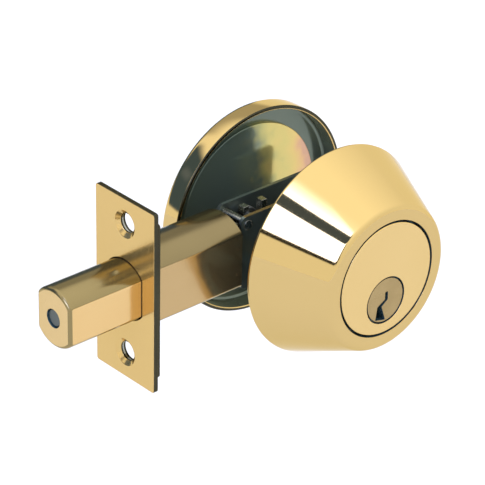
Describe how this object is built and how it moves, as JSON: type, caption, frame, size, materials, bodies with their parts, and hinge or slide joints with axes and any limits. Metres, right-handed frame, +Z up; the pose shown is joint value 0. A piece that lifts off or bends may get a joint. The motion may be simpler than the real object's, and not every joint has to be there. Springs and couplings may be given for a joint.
{
  "type": "deadbolt door lock",
  "caption": "Tubular deadbolt with a tapered keyed collar, flat-sided throwing bolt, rectangular faceplate and inner rose with thumbturn.",
  "frame": {"origin": "middle of the door's cross bore, on the bolt's centre line", "axes": "-X the way the bolt is thrown, -Y the keyed outer side, +Y the thumbturn side, +Z up"},
  "size_m": [0.1183, 0.078, 0.0652],
  "materials": {
    "polished_brass": "polished and lacquered",
    "brass_face": "fine satin",
    "plug_brass": "satin",
    "bolt_brass": "satin, drawn lengthwise",
    "pin_brass": "turned",
    "screw_brass": "plated",
    "hardened_steel": "dark oiled",
    "zinc_steel": "zinc plated",
    "case_steel": "yellow zinc plated",
    "dichromate_zinc": "iridescent yellow dichromate",
    "spring_steel": "bright",
    "cast_zinc": "as cast",
    "guide_plastic": "moulded"
  },
  "bodies": {
    "lock_body": {"faceplate": "polished_brass", "backing_plate": "zinc_steel", "bolt_casing": "case_steel", "guide_pads": "guide_plastic", "case_rivets": "zinc_steel", "hub_plate_outer": "case_steel", "hub_plate_inner": "case_steel", "plate_spacers": "zinc_steel", "detent_spring": "spring_steel", "cylinder_body": "brass_face", "chamber_cover": "brass_face", "guard_insert": "zinc_steel", "driver_pin_1": "pin_brass", "driver_pin_2": "pin_brass", "driver_pin_3": "pin_brass", "driver_pin_4": "pin_brass", "driver_pin_5": "pin_brass", "pin_spring_1": "spring_steel", "pin_spring_2": "spring_steel", "pin_spring_3": "spring_steel", "pin_spring_4": "spring_steel", "pin_spring_5": "spring_steel", "rose": "polished_brass", "mounting_plate": "dichromate_zinc", "mounting_screws": "screw_brass", "turn_washer": "spring_steel"},
    "bolt": {"bolt_head": "bolt_brass", "bolt_tail": "zinc_steel", "tail_rivet": "zinc_steel"},
    "roller": {"roller_pin": "hardened_steel"},
    "crank_set": {"crank": "cast_zinc", "crank_pin": "zinc_steel"},
    "plug_set": {"key_plug": "plug_brass", "plug_clip": "spring_steel", "tailpiece": "zinc_steel", "key_pin_1": "pin_brass", "key_pin_2": "pin_brass", "key_pin_3": "pin_brass", "key_pin_4": "pin_brass", "key_pin_5": "pin_brass"},
    "turn_set": {"thumbturn": "polished_brass", "turn_clip": "spring_steel"},
    "collar_ring": {"collar": "polished_brass"}
  },
  "joints": [
    {"name": "thumb_turn", "type": "hinge", "parent": "lock_body", "child": "turn_set", "pos_m": [0, 0.018, -0.0069], "axis": [0, 1, 0], "range_deg": [0, 90]},
    {"name": "crank_turn", "type": "hinge", "parent": "lock_body", "child": "crank_set", "pos_m": [0, 0, -0.0069], "axis": [0, 1, 0], "range_deg": [0, 90]},
    {"name": "plug_turn", "type": "hinge", "parent": "lock_body", "child": "plug_set", "pos_m": [0, -0.03, -0.0069], "axis": [0, 1, 0], "range_deg": [0, 90]},
    {"name": "bolt_slide", "type": "slide", "parent": "lock_body", "child": "bolt", "axis": [1, 0, 0], "range_m": [0, 0.0254]},
    {"name": "roller_spin", "type": "hinge", "parent": "bolt", "child": "roller", "pos_m": [-0.0757, 0, 0], "axis": [1, 0, 0], "continuous": true},
    {"name": "collar_spin", "type": "hinge", "parent": "lock_body", "child": "collar_ring", "pos_m": [0, -0.03, 0], "axis": [0, 1, 0], "continuous": true}
  ],
  "couplings": [
    {"joint": "thumb_turn", "follows": "bolt_slide", "rad_per_m": 61.84},
    {"joint": "crank_turn", "follows": "bolt_slide", "rad_per_m": 61.84},
    {"joint": "plug_turn", "follows": "bolt_slide", "rad_per_m": 61.84}
  ]
}
